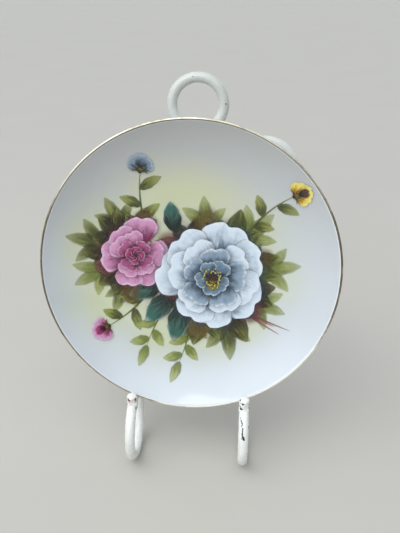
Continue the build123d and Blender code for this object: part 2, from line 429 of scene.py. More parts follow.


# Soft washes of colour lie in the glaze, the top of the face is darkened to warm grey as painted shade,
# and the underside of the foot ring is left bare
def porcelainGlaze():
    material, bench, shader = newMaterial("porcelainGlaze")
    place, across, up, out = localPlace(bench)

    def wash(centre, reach, waver):
        dx, dy = (across - centre[0]) * glaze["washStretch"], up - centre[1]
        return 1.0 - ((dx * dx + dy * dy) ** 0.5 + waver).ramp(*reach)

    cloud = bench.noise(place, 22.0).ramp(0.35, 0.7)
    body = bench.mix(cloud * 0.35, colour(*glaze["white"]), colour(*glaze["shade"]))
    waver = (bench.noise(place, 30.0) - 0.5) * glaze["glowWaver"]
    glow = wash(glaze["glowCentre"], glaze["glowReach"], waver)
    blushWaver = (bench.noise(place, 55.0) - 0.5) * glaze["blushWaver"]
    blush = wash(glaze["blushCentre"], glaze["blushReach"], blushWaver)
    front = bench.add("ShaderNodeAttribute", {"attribute_name": "front"}, None, 2)
    # Painted shade: the face turns warm grey toward the top of the plate
    ground = (up + waver * 0.4).ramp(*glaze["groundReach"]) * glaze["groundStrength"]
    body = bench.mix(ground, body, colour(*glaze["ground"]))
    body = bench.mix(front, colour(*glaze["back"]), body)
    patchy = bench.noise(place, 26.0, 2.0).ramp(0.12, 0.62)
    tinted = bench.mix(glow * patchy * glaze["glowStrength"] * front, body, colour(*glaze["glow"]))
    tinted = bench.mix(blush * glaze["blushStrength"] * front, tinted, colour(*glaze["blush"]))
    radius = (across * across + up * up) ** 0.5
    low, high = [height - plate["height"] for height in glaze["bareHeight"]]
    bare = (1.0 - out.ramp(low, high)) * radius.ramp(*glaze["bareRadius"])
    grit = bench.noise(place, 900.0, 2.0).ramp(0.72, 0.78) * 0.35
    finish = bench.mix(bare, tinted, colour(*glaze["foot"]))
    plug(bench, shader, "Base Color", bench.mix(grit * bare, finish, colour(*glaze["grit"])))
    ripple = bench.noise(place, 60.0, 2.0) * 0.05
    plug(bench, shader, "Roughness", bare * glaze["bareRoughness"] + glaze["roughness"] + ripple)
    swell = {"Strength": 0.08, "Distance": 0.0006, "Height": bench.noise(place, 45.0, 2.0)}
    plug(bench, shader, "Normal", bench.add("ShaderNodeBump", None, swell))
    shader.inputs["IOR"].default_value = 1.5
    shader.inputs["Coat Weight"].default_value = glaze["coat"]
    shader.inputs["Coat Roughness"].default_value = glaze["coatRoughness"]
    return material


profile = upperFace() + lipPoints() + lowerFace()
porcelainMesh = spun("porcelain_plate", profile, len(upperFace()))
porcelain = placed("porcelain_plate", porcelainMesh, porcelainGlaze(), "plate", ["plate_body"])
print("plate body:", len(porcelain.data.polygons), "faces")

# The gilt line: a thin coat over the lip, laid on with a brush, so its edge wanders
gilding = {
    "swell": 0.00005,
    "steps": 12,
    "start": 0.0,
    "end": 0.72,
    "gold": (0.66, 0.58, 0.40),
    "dark": (0.17, 0.13, 0.075),
    "pale": (0.90, 0.87, 0.77),
    "innerEdge": (0.09388, 0.09425),
    "innerWander": 0.0003,
    # Painted reflection: the gold darkens toward the left and right sides
    "sides": (0.80, 0.97),
    # Painted highlight: the gold turns pale toward the bottom
    "bottom": (0.72, 1.0),
    "metal": 0.75,
}


# The gold is darker where worn and along its inner edge, darker at the left and right sides as a painted
# dark reflection, and painted pale and less metallic toward the bottom as a painted highlight
def giltFinish():
    material, bench, shader = newMaterial("wornGilt")
    place, across, up, _ = localPlace(bench)
    worn = bench.noise(place, 160.0, 4.0, 0.6)
    broad = bench.noise(place, 14.0, 2.0)
    dark, pale = colour(*gilding["dark"]), colour(*gilding["pale"])
    base = bench.mix(worn.ramp(0.42, 0.72), colour(*gilding["gold"]), dark)
    # Painted dark reflection at the left and right sides, broken up by the wear noise
    paintedSideReflection = (across / plate["radius"]).maths("ABSOLUTE").ramp(*gilding["sides"]) * worn.ramp(0.2, 0.5)
    base = bench.mix(paintedSideReflection * 0.8, base, dark)
    radius = (across * across + up * up) ** 0.5
    inner = 1.0 - (radius + (worn - 0.5) * gilding["innerWander"]).ramp(*gilding["innerEdge"])
    # The pale colour serves both random pale patches here and the painted highlight below
    base = bench.mix(broad.ramp(0.35, 0.65) * (1.0 - paintedSideReflection) * 0.6, base, pale)
    base = bench.mix(inner * 0.9, base, dark)
    # Painted highlight: pale and less metallic toward the bottom right
    lowness = (across * 0.5 - up) / plate["radius"] + (worn - 0.5) * 0.4
    paintedLowHighlight = lowness.ramp(*gilding["bottom"]) * 0.85
    plug(bench, shader, "Base Color", bench.mix(paintedLowHighlight, base, pale))
    plug(bench, shader, "Roughness", worn * 0.25 + 0.2)
    plug(bench, shader, "Metallic", (gilding["metal"] - worn.ramp(0.6, 0.75) * 0.4) * (1.0 - paintedLowHighlight))
    return material


giltProfile = lipPoints(gilding["swell"], gilding["steps"], gilding["start"], gilding["end"])
placed("gilt_line", spun("gilt_line", giltProfile), giltFinish(), "plate", ["rim_gilding"])
print("gilt line ready")

# The painting: dabs of enamel laid on the glaze, each one a thin patch that follows the dish
brushwork = {
    "lift": 0.00003,         # from the glaze to the first dab
    "layerStep": 0.000006,   # from one dab to the next
    "above": 0.02,           # where the dabs start, before they drop on to the dish
    "reach": 0.1,
    "highlight": (0.76, 0.80, 0.84),
    "coat": 0.3,
    "coatRoughness": 0.05,
}


def shade(code):
    parts = [int(code[i:i + 2], 16) / 255 for i in (0, 2, 4)]
    return tuple(p / 12.92 if p <= 0.04045 else ((p + 0.055) / 1.055) ** 2.4 for p in parts) + (1.0,)


# A patch has its foot at the origin and grows one unit along y, except a dot, which has its middle there
def leafOutline(along, across):
    width = math.sin(math.pi * along ** 0.86) ** 0.72 * 0.5
    ripple = 1 + 0.04 * math.sin(along * 19)
    return across * width * ripple, along


def petalOutline(along, across):
    width = 0.14 + 0.40 * math.sin(math.pi * 0.62 * along ** 0.9)
    droop = 0.30 * abs(across) ** 3.2 + 0.035 * math.sin(across * 7.5) * abs(math.cos(across * 3))
    notch = 0.06 * math.exp(-(across / 0.16) ** 2)
    return across * width, along * (1 - droop * along ** 2) - notch * along ** 4


def strokeOutline(along, across):
    return across * 0.5 * (1 - along) ** 0.45 * (0.35 + 0.65 * min(1, along * 5)), along


def dotOutline(along, across):
    angle = across * math.pi
    return along * math.sin(angle) * 0.5, along * math.cos(angle) * 0.5


patchKinds = {
    "leaf": dict(rows=18, columns=10, outline=leafOutline),
    "petal": dict(rows=16, columns=18, outline=petalOutline),
    "stroke": dict(rows=14, columns=4, outline=strokeOutline),
    "dot": dict(rows=4, columns=12, outline=dotOutline),
}


def patchMesh(kind, rows, columns, outline):
    places, marks, faces = [], [], []
    for i in range(rows + 1):
        for j in range(columns + 1):
            along, across = i / rows, 2 * j / columns - 1
            x, y = outline(along, across)
            places.append((x, y, 0))
            marks.append((0.5, along) if kind == "dot" else (along, across))
    for i in range(rows):
        for j in range(columns):
            a = i * (columns + 1) + j
            faces.append((a, a + 1, a + columns + 2, a + columns + 1))
    mesh = bpy.data.meshes.new(kind + "Patch")
    mesh.from_pydata(places, [], faces)
    for name, values in (("along", [m[0] for m in marks]), ("across", [m[1] for m in marks])):
        mesh.attributes.new(name, "FLOAT", "POINT").data.foreach_set("value", values)
    shape = mesh.attributes.new("shape", "FLOAT_VECTOR", "POINT")
    shape.data.foreach_set("vector", [c for place in places for c in place])
    patch = bpy.data.objects.new(kind + "Patch", mesh)
    bpy.context.scene.collection.objects.link(patch)
    return patch


def sprayTree():
    tree = bpy.data.node_groups.new("sprayOfDabs", "GeometryNodeTree")
    tree.is_modifier = True
    sockets = {"Dabs": "NodeSocketGeometry", "Patch": "NodeSocketObject", "Plate": "NodeSocketObject",
               "Layer Step": "NodeSocketFloat", "Lift": "NodeSocketFloat", "Above": "NodeSocketFloat",
               "Reach": "NodeSocketFloat", "Enamel": "NodeSocketMaterial"}
    for name, kind in sockets.items():
        tree.interface.new_socket(name, in_out="INPUT", socket_type=kind)
    tree.interface.new_socket("Painting", in_out="OUTPUT", socket_type="NodeSocketGeometry")
    bench = Bench(tree)
    given = bench.add("NodeGroupInput")
    given = {name: bench.out(given, name) for name in sockets}

    def told(name, kind="FLOAT"):
        return bench.add("GeometryNodeInputNamedAttribute", {"data_type": kind}, {"Name": name})

    def solidOf(wire):
        return bench.out(bench.add("GeometryNodeObjectInfo", None, {"Object": wire}), "Geometry")

    points = bench.add("GeometryNodeMeshToPoints", None, {"Mesh": given["Dabs"]})
    laying = {"Points": points, "Instance": solidOf(given["Patch"])}
    laid = bench.add("GeometryNodeInstanceOnPoints", None, laying)
    real = bench.add("GeometryNodeRealizeInstances", None, {"Geometry": laid})
    shapeX, shapeY, _ = bench.axes(told("shape", "FLOAT_VECTOR"))
    length, width, _ = bench.axes(told("size", "FLOAT_VECTOR"))
    stemX, stemY, _ = bench.axes(told("stem", "FLOAT_VECTOR"))
    bend, turn, layer = told("bend"), told("turn"), told("layer")
    lean = bend * shapeY
    side = shapeX * width
    localX = length * bend * shapeY * shapeY * 0.5 + side * lean.maths("COSINE")
    sag = bend * bend * shapeY * shapeY * shapeY * (1 / 6)
    localY = length * (shapeY - sag) - side * lean.maths("SINE")
    sine, cosine = turn.maths("SINE"), turn.maths("COSINE")
    flatX, flatY = stemX + localX * cosine + localY * sine, stemY + localY * cosine - localX * sine
    flat = bench.combine(flatX, flatY, given["Above"])
    rows = [tuple(plateFrame.to_3x3().row[i]) for i in range(3)]
    leaned = bench.combine(*[bench.vector("DOT_PRODUCT", flat, row, 1) for row in rows])
    above = bench.vector("ADD", leaned, tuple(rimCentre))
    ray = {"Target Geometry": solidOf(given["Plate"]), "Source Position": above,
           "Ray Direction": tuple(-outward), "Ray Length": given["Reach"]}
    landed = bench.out(bench.add("GeometryNodeRaycast", None, ray), "Hit Position")
    height = given["Lift"] + layer * given["Layer Step"]
    rise = bench.add("ShaderNodeVectorMath", {"operation": "SCALE"}, {0: tuple(outward), "Scale": height})
    setting = {"Geometry": real, "Position": bench.vector("ADD", landed, rise)}
    moved = bench.add("GeometryNodeSetPosition", None, setting)
    smooth = bench.add("GeometryNodeSetShadeSmooth", None, {"Geometry": moved})
    painted = bench.add("GeometryNodeSetMaterial", None, {"Geometry": smooth, "Material": given["Enamel"]})
    bench.add("NodeGroupOutput", None, {"Painting": painted})
    return tree


# Each dab: where its stem starts, which way it grows (0 is up, clockwise), its size, bend and colours
class Spray:
    layer = 0
    kinds = dict(stem="FLOAT_VECTOR", size="FLOAT_VECTOR", turn="FLOAT", bend="FLOAT", layer="FLOAT",
                 rim="FLOAT", thin="FLOAT", shift="FLOAT", grain="FLOAT", seed="FLOAT",
                 deep="FLOAT_COLOR", light="FLOAT_COLOR")
    fields = dict(FLOAT="value", FLOAT_VECTOR="vector", FLOAT_COLOR="color")

    def __init__(self, kind):
        self.kind, self.dabs = kind, []

    def add(self, place, turn, length, width, bend, hue, rim=0.0, thin=0.0, shift=0.0, grain=1.0):
        Spray.layer += 1
        self.dabs.append(dict(
            stem=(place[0], place[1], 0), size=(length, width, 0),
            turn=math.radians(turn), bend=math.radians(bend),
            deep=shade(hue[0]), light=shade(hue[1]), rim=rim, thin=thin, shift=shift, grain=grain,
            layer=float(Spray.layer), seed=Spray.layer * 0.371))

    def points(self):
        mesh = bpy.data.meshes.new(self.kind + "Dabs")
        mesh.from_pydata([dab["stem"] for dab in self.dabs], [], [])
        for name, kind in self.kinds.items():
            values = [dab[name] for dab in self.dabs]
            flat = values if kind == "FLOAT" else [part for value in values for part in value]
            mesh.attributes.new(name, kind, "POINT").data.foreach_set(self.fields[kind], flat)
        return mesh


# Fine streaks run along each dab, its edge is ragged where it is thin, and its rim catches a line of light
def chinaPaint():
    material, bench, shader = newMaterial("chinaPaint")

    def told(name, out=2):
        return bench.add("ShaderNodeAttribute", {"attribute_name": name}, None, out)

    along, across, rim, thin, seed = told("along"), told("across"), told("rim"), told("thin"), told("seed")
    deep, light = told("deep", 0), told("light", 0)
    grainPlace = bench.combine(across * 5.0 + seed * 9.0, along * 1.1, seed)
    streak = bench.noise(grainPlace, 2.4, 3.0, 0.6)
    broad = bench.noise(bench.combine(across * 1.3, along * 1.6, seed), 1.7, 2.0)
    side = across.maths("ABSOLUTE")
    body = (along * 1.05 - told("shift") + (streak - 0.5) * told("grain") + (broad - 0.5) * 0.9
            - side * side * (1.0 - along) * 0.25)
    base = bench.mix(body.ramp(0.12, 0.95), deep, light)
    edge = (1.0 - side) * 0.9
    tip = (1.0 - along) * 1.6
    broken = bench.noise(bench.combine(across * 2.6, along * 2.2, seed * 3.0), 1.9, 2.0).ramp(0.36, 0.62)
    nearEdge = 1.0 - edge.maths("MINIMUM", tip).ramp(0.02, 0.27)
    lit = nearEdge * rim * along.ramp(0.25, 0.8) * (streak * 0.7 + 0.45) * (broken * 0.85 + 0.15)
    plug(bench, shader, "Base Color", bench.mix(lit, base, colour(*brushwork["highlight"])))
    ragged = streak * 0.10
    cover = (edge.ramp(0.0, 0.10) * (1.0 - thin) + edge.ramp(ragged, 0.5) * thin)
    foot = along.ramp(0.0, 0.16) * thin + (1.0 - thin)
    end = tip.ramp(0.0, 0.9) * thin + (1.0 - thin)
    plug(bench, shader, "Alpha", (cover * foot * end * (1.0 - thin * (0.25 + streak * 0.35))).clamped())
    plug(bench, shader, "Roughness", streak * 0.12 + 0.14)
    shader.inputs["Coat Weight"].default_value = brushwork["coat"]
    shader.inputs["Coat Roughness"].default_value = brushwork["coatRoughness"]
    return material


enamel = chinaPaint()
tree = sprayTree()
inputOf = {item.name: item.identifier for item in tree.interface.items_tree if item.in_out == "INPUT"}
patches = {kind: patchMesh(kind, **habit) for kind, habit in patchKinds.items()}


def laidOn(spray, name):
    holder = bpy.data.objects.new(name + "Dabs", spray.points())
    bpy.context.scene.collection.objects.link(holder)
    modifier = holder.modifiers.new("spray", "NODES")
    modifier.node_group = tree
    values = {"Patch": patches[spray.kind], "Plate": porcelain, "Enamel": enamel,
              "Layer Step": brushwork["layerStep"], "Lift": brushwork["lift"],
              "Above": brushwork["above"], "Reach": brushwork["reach"]}
    for socket, value in values.items():
        modifier[inputOf[socket]] = value
    bpy.context.view_layer.update()
    done = bpy.data.meshes.new_from_object(holder.evaluated_get(bpy.context.evaluated_depsgraph_get()))
    bpy.data.objects.remove(holder)
    placed(name, done, None, "plate")


# Colours of the painting, each one from its deep tone to its light tone
hues = {
    "olive": ("28210b", "85863e"),
    "oliveDark": ("23190b", "6d622c"),
    "moss": ("3e4616", "989c4c"),
    "pale": ("707b36", "abb268"),
    "teal": ("071917", "306154"),
    "tealGrey": ("1f2c2a", "75897f"),
    "twig": ("5a2f2b", "a8776c"),
    "blueWhite": ("3d5469", "cfdbe6"),
    "slate": ("1a2a3a", "8b9fb1"),
    "slateDark": ("0f1b27", "6a8397"),
    "slateMid": ("4b6278", "9fb2c2"),
    "roseMid": ("843062", "c587ae"),
    "rose": ("6f1648", "cb90b5"),
    "roseDeep": ("430a27", "a5507f"),
    "roseHeart": ("33051a", "a23a6d"),
    "yellow": ("94600f", "efdc5c"),
    "sepia": ("1a0d09", "5f3f2c"),
    "stem": ("353c1a", "7c8447"),
    "disc": ("4d3a1c", "b9a94e"),
    "anther": ("8f7a1c", "e8e06a"),
    "mauve": ("562429", "8a5450"),
    "umber": ("4c3a1b", "8a7340"),
}
chance = random.Random(41)
# Places are across and up from the middle of the plate, and turns are clockwise from straight up
bouquet = {
    "big": (0.014, -0.008),
    "rosy": (-0.036, 0.006),
    "bigRings": [
        dict(count=7, start=14, out=0.0100, length=0.0255, width=0.0300,
             hue="blueWhite", mark="slateMid", rim=0.95, stray=9),
        dict(count=6, start=40, out=0.0062, length=0.0205, width=0.0235,
             hue="blueWhite", mark="slateMid", rim=0.80, stray=10),
        dict(count=5, start=8, out=0.0038, length=0.0160, width=0.0185,
             hue="slate", mark="slateDark", rim=0.90, stray=9),
        dict(count=5, start=44, out=0.0014, length=0.0112, width=0.0120,
             hue="slateDark", mark="slateMid", rim=0.85, stray=8),
    ],
    "rosyRings": [
        dict(count=6, start=20, out=0.0070, length=0.0158, width=0.0195,
             hue="rose", mark="roseMid", rim=0.65, stray=9),
        dict(count=5, start=2, out=0.0040, length=0.0128, width=0.0155,
             hue="rose", mark="roseMid", rim=0.55, stray=9),
        dict(count=4, start=35, out=0.0018, length=0.0098, width=0.0118,
             hue="roseDeep", mark="roseMid", rim=0.60, stray=8),
        dict(count=4, start=10, out=0.0002, length=0.0062, width=0.0070,
             hue="roseHeart", mark="roseDeep", rim=0.50, stray=8),
    ],
    "paleRoundBig": [(-6, 0.033, 1.0), (38, 0.034, 1.05), (80, 0.035, 1.1),
                     (120, 0.033, 1.0), (163, 0.033, 1.1), (204, 0.031, 0.9)],
    "paleRoundRosy": [(202, 0.022, 0.95), (246, 0.024, 1.05), (288, 0.024, 1.05), (334, 0.022, 1.05)],
    "darkRoundBig": range(-14, 340, 42),
    "darkRoundRosy": range(184, 392, 46),
    "teal": [((-0.014, -0.020), 212, 1.0), ((-0.006, -0.027), 186, 1.05), ((-0.020, -0.013), 240, 0.9),
             ((-0.010, 0.022), 342, 0.8)],
    "sprigs": [
        dict(start=(-0.026, 0.014), turn=-22, length=0.050, bend=30, hue="slate", heart="slateDark"),
        dict(start=(0.030, 0.012), turn=26, length=0.052, bend=34, hue="yellow", heart="sepia"),
        dict(start=(-0.024, -0.012), turn=208, length=0.046, bend=34, hue="rose", heart="roseHeart"),
    ],
    "trailing": [((0.000, -0.038), 186, 0.031, 16), ((-0.017, -0.030), 212, 0.030, -14)],
    "twigFoot": (0.034, -0.030),
    "twigs": [(116, 0.034), (127, 0.029), (121, 0.024)],
    "haze": [
        ((-0.014, 0.012), 0.026, "mauve"),
        ((-0.012, -0.014), 0.030, "mauve"),
        ((0.046, 0.006), 0.020, "umber"),
        ((0.010, 0.028), 0.028, "umber"),
        ((-0.030, 0.028), 0.022, "umber"),
        ((-0.056, -0.002), 0.020, "mauve"),
        ((0.006, -0.042), 0.026, "umber"),
        ((0.040, -0.030), 0.024, "mauve"),
        ((-0.040, -0.020), 0.020, "umber"),
    ],
    "budPetal": (0.0105, 0.0082),
    "budHeart": (0.0068, 0.0060),
    "sepal": (0.0052, 0.0016),
    "calyx": (0.0036, 0.0036),
    "stemWidth": 0.0019,
    "trailingWidth": 0.0013,
    "twigWidth": 0.0018,
    "vein": (0.016, 0.0006),
    "sprigLeaf": (0.0155, 0.0072),
    "trailingLeaf": (0.0150, 0.0072),
    "tealLeaf": (0.0255, 0.0150),
    "paleLeafBig": (0.0225, 0.0098),
    "paleLeafRosy": (0.0205, 0.0090),
    "darkLeafBig": (0.0255, 0.0145),
    "darkLeafRosy": (0.0215, 0.0128),
    "rosyHeart": (0.0032, 0.0030),
    "curls": 7,
    "disc": (0.0092, 0.0088),
    "stamens": 52,
    "stamenReach": 0.0048,
    "anthers": 38,
    "antherReach": (0.0040, 0.0030),
    "goldenAngle": 137.5,
}


def around(centre, turn, reach):
    angle = math.radians(turn)
    return centre[0] + math.sin(angle) * reach, centre[1] + math.cos(angle) * reach


# Each petal has a soft shadow under it, then the petal, then a few brush marks from its foot
def bloom(petals, strokes, place, rings):
    for ring in rings:
        for i in range(ring["count"]):
            turn = ring["start"] + 360 * i / ring["count"] + chance.uniform(-1, 1) * ring["stray"]
            foot = around(place, turn, ring["out"] * chance.uniform(0.8, 1.2))
            size = chance.uniform(0.88, 1.12)
            length, width, bend = ring["length"] * size, ring["width"] * size, chance.uniform(-22, 22)
            hue, mark = hues[ring["hue"]], hues[ring["mark"]]
            petals.add(foot, turn, length * 1.24, width * 1.20, bend, (hue[0], mark[0]), thin=1.0)
            turned = turn + chance.uniform(-6, 6)
            petals.add(foot, turned, length, width, bend, hue, ring["rim"], grain=0.38)
            for lean in (-22, 14):
                lean += chance.uniform(-7, 7)
                reach = length * chance.uniform(0.40, 0.66)
                strokes.add(around(foot, turn, length * 0.16), turn + lean, reach, width * 0.24,
                            bend + lean * 0.5, mark, thin=1.0, grain=0.5)


# Three leaves that fan out from one place
def cluster(leaves, at, turn, length, width, hue, thin, shift, spread):
    for side in (-1, 0, 1):
        size = (1 - 0.13 * abs(side)) * chance.uniform(0.9, 1.1)
        leafTurn = turn + side * spread + chance.uniform(-5, 5)
        bend = side * 13 + chance.uniform(-8, 8)
        leafShift = shift + chance.uniform(-0.08, 0.12)
        leaves.add(at, leafTurn, length * size, width * size, bend, hues[hue], 0.06, thin, leafShift)


def alongStem(start, turn, length, bend, t):
    b = math.radians(bend)
    x, y = length * b * t * t / 2, length * (t - b * b * t ** 3 / 6)
    sine, cosine = math.sin(math.radians(turn)), math.cos(math.radians(turn))
    return start[0] + x * cosine + y * sine, start[1] + y * cosine - x * sine


def sprig(stems, leaves, start, turn, length, bend):
    leafLength, leafWidth = bouquet["sprigLeaf"]
    stems.add(start, turn, length, bouquet["stemWidth"], bend, hues["stem"], thin=0.25)
    for t, side in ((0.34, 1), (0.50, -1), (0.72, 1)):
        at = alongStem(start, turn, length, bend, t)
        grown = leafLength * chance.uniform(0.85, 1.1)
        leaves.add(at, turn + bend * t + side * 50, grown, leafWidth, side * 18, hues["moss"], 0.1, 0.30)
    return alongStem(start, turn, length, bend, 0.97), turn + bend


# A half-open bud: petals in a cup, with sepals that curl back round its foot
def bud(petals, strokes, leaves, end, turn, hue, heart):
    length, width = bouquet["budPetal"]
    for spread in (-46, 44, -24, 25, 0):
        petals.add(end, turn + spread, length - abs(spread) * 0.00003, width, spread * 0.5, hues[hue], 0.5)
    petals.add(around(end, turn, 0.0018), turn + 4, *bouquet["budHeart"], 8, hues[heart], 0.4)
    green = hues["oliveDark"]
    for lean in (-70, -28, 32, 74):
        foot = around(end, turn + 180, 0.0006)
        strokes.add(foot, turn + lean, *bouquet["sepal"], lean * 0.7, green, thin=0.1)
    leaves.add(around(end, turn + 180, 0.0020), turn, *bouquet["calyx"], 0, green)


backLeaves, frontLeaves = Spray("leaf"), Spray("leaf")
stems, petals, strokes, hearts = Spray("stroke"), Spray("petal"), Spray("stroke"), Spray("dot")
haze = Spray("dot")
big, rosy = bouquet["big"], bouquet["rosy"]

# Pale leaves at the back, one group at a time round the flowers
for centre, groups, (length, width) in ((big, bouquet["paleRoundBig"], bouquet["paleLeafBig"]),
                                        (rosy, bouquet["paleRoundRosy"], bouquet["paleLeafRosy"])):
    for turn, reach, size in groups:
        leafTurn = turn + chance.uniform(-12, 12)
        hue = chance.choice(["pale", "moss"])
        at = around(centre, turn, reach)
        cluster(backLeaves, at, leafTurn, length * size, width * size, hue, 0.42, 0.12, 40)
buds = []
for each in bouquet["sprigs"]:
    end, turn = sprig(stems, backLeaves, each["start"], each["turn"], each["length"], each["bend"])
    buds.append((end, turn, each["hue"], each["heart"]))
for turn, length in bouquet["twigs"]:
    stems.add(bouquet["twigFoot"], turn, length, bouquet["twigWidth"], -14, hues["twig"], thin=0.3)

# Two light sprigs trail below the bunch
for start, turn, length, bend in bouquet["trailing"]:
    stems.add(start, turn, length, bouquet["trailingWidth"], bend, hues["stem"], thin=0.4)
    leafLength, leafWidth = bouquet["trailingLeaf"]
    for t, side in ((0.40, 1), (0.58, -1), (0.80, 1), (0.97, 0)):
        at = alongStem(start, turn, length, bend, t)
        leafTurn, grown = turn + bend * t + side * 48, leafLength - 0.0012 * abs(side)
        backLeaves.add(at, leafTurn, grown, leafWidth, side * 16 + 4, hues["pale"], 0.08, 0.34, 0.06)

# Dark leaves close round the flowers
length, width = bouquet["darkLeafBig"]
for turn in bouquet["darkRoundBig"]:
    leafTurn = turn + chance.uniform(-12, 12)
    grown = length * chance.uniform(0.85, 1.12)
    hue = chance.choice(["olive", "oliveDark", "olive", "moss"])
    cluster(frontLeaves, around(big, turn, 0.0200), leafTurn, grown, width, hue, 0.12, 0.46, 31)
length, width = bouquet["darkLeafRosy"]
for turn in bouquet["darkRoundRosy"]:
    leafTurn = turn + chance.uniform(-12, 12)
    grown = length * chance.uniform(0.85, 1.1)
    hue = chance.choice(["olive", "oliveDark"])
    cluster(frontLeaves, around(rosy, turn, 0.0130), leafTurn, grown, width, hue, 0.12, 0.42, 31)
length, width = bouquet["tealLeaf"]
veinLength, veinWidth = bouquet["vein"]
for at, turn, size in bouquet["teal"]:
    frontLeaves.add(at, turn, length * size, width * size, 16, hues["teal"], 0.55)
    for lean in (-20, 0, 18):
        foot, bend = around(at, turn, 0.004), 14 + lean * 0.6
        strokes.add(foot, turn + lean + 4, veinLength * size, veinWidth, bend, hues["tealGrey"], thin=0.3)

# Soft clouds of brown and mauve between the leaves and the flowers
for at, size, hue in bouquet["haze"]:
    haze.add(at, chance.uniform(0, 360), size, size * 0.85, 0, hues[hue], thin=1.0)

# The buds, then the two flowers from their outer petals to their hearts
for end, turn, hue, heart in buds:
    bud(petals, strokes, frontLeaves, end, turn, hue, heart)
bloom(petals, strokes, rosy, bouquet["rosyRings"])
hearts.add(around(rosy, 0, -0.0016), 0, *bouquet["rosyHeart"], 0, hues["roseHeart"], thin=0.5)
for i in range(bouquet["curls"]):
    turn = i * 51.4
    strokes.add(around(rosy, turn, 0.0008), turn + 60, 0.0046, 0.0012, 100, hues["rose"], thin=0.3)
bloom(petals, strokes, big, bouquet["bigRings"])

hearts.add(around(big, 0, -0.0046), 0, *bouquet["disc"], 0, hues["disc"], thin=0.6)
for i in range(bouquet["stamens"]):
    reach = bouquet["stamenReach"] * math.sqrt(chance.random())
    hearts.add(around(big, i * bouquet["goldenAngle"], reach), 0, 0.0012, 0.0010, 0, hues["sepia"])
nearest, spread = bouquet["antherReach"]
for i in range(bouquet["anthers"]):
    reach = nearest + chance.uniform(0, spread)
    hearts.add(around(big, i * bouquet["goldenAngle"] + 20, reach), 0, 0.0010, 0.0010, 0, hues["anther"])

sprays = {"pale_leaves": backLeaves, "stems": stems, "olive_leaves": frontLeaves, "haze": haze,
          "painted_petals": petals, "brush_marks": strokes, "stamens": hearts}
for name, spray in sprays.items():
    laidOn(spray, name)
    print("painted", name, "with", len(spray.dabs), "dabs")
for patch in patches.values():
    bpy.data.objects.remove(patch)

# The stand: thick gloss paint on iron rod, chipped to the dark metal
standPaint = {
    "white": (0.82, 0.83, 0.80),
    "cream": (0.73, 0.735, 0.68),
    "iron": (0.012, 0.010, 0.009),
    "rust": (0.055, 0.026, 0.014),
    # Painted shade: the paint turns grey toward the top of the stand
    "weathered": (0.50, 0.515, 0.475),
    "weatheredLevel": (0.12, 0.27),
    "blush": (0.80, 0.50, 0.50),
    "blushPlace": (-0.0385, -0.0728, 0.0505),
    "blushReach": (0.001, 0.0042),
    "grime": (0.20, 0.17, 0.13),
    "grimeReach": (0.003, 0.016),
    "hinge": (0.0, -0.00386, 0.17303),
    "rubbedReach": (0.006, 0.017),
    "ragged": 0.0020,
    "wobble": 0.0036,
    "edge": 0.80,
    "relief": 0.0006,
    "coat": 0.25,
}
# Where the paint has come off, and how far round each place
chips = [
    ((0.0403, -0.0805, 0.0395), 0.0007),
    ((0.0343, -0.0714, 0.0539), 0.0008),
    ((0.0363, -0.0734, 0.0523), 0.0010),
    ((0.0403, -0.0710, 0.0498), 0.0010),
    ((0.0388, -0.0717, 0.0552), 0.0006),
    ((0.0349, -0.0728, 0.0478), 0.0008),
    ((-0.0405, -0.0722, 0.0472), 0.0010),
    ((-0.0347, -0.0720, 0.0539), 0.0009),
    ((-0.0342, -0.0734, 0.0450), 0.0008),
    ((-0.0008, -0.0067, 0.2470), 0.00042),
    ((-0.0115, -0.0086, 0.2362), 0.00035),
    ((0.0199, -0.0093, 0.2314), 0.00045),
]
# Scratches run from one place to the next, down to the iron
scratches = [
    ((0.0353, -0.0776, 0.0446), (0.0362, -0.0822, 0.0412), 0.00062),
    ((0.0364, -0.0830, 0.0402), (0.0366, -0.0855, 0.0368), 0.00050),
    ((0.0370, -0.0858, 0.0362), (0.0372, -0.0868, 0.0340), 0.00075),
    ((0.0345, -0.0724, 0.0502), (0.0362, -0.0731, 0.0480), 0.00058),
    ((0.0362, -0.0731, 0.0478), (0.0396, -0.0726, 0.0468), 0.00060),
    ((0.0398, -0.0716, 0.0508), (0.0403, -0.0712, 0.0466), 0.00058),
    ((-0.0393, -0.0729, 0.0533), (-0.0381, -0.0736, 0.0512), 0.00070),
    ((-0.0346, -0.0723, 0.0532), (-0.0344, -0.0722, 0.0498), 0.00066),
]


def scratchNear(bench, place, start, end):
    course = Vector(end) - Vector(start)
    away = bench.vector("SUBTRACT", place, start)
    along = (bench.vector("DOT_PRODUCT", away, tuple(course), 1) / course.length_squared).clamped()
    return bench.vector("DISTANCE", away, bench.vector("MULTIPLY", along, tuple(course)), 1)
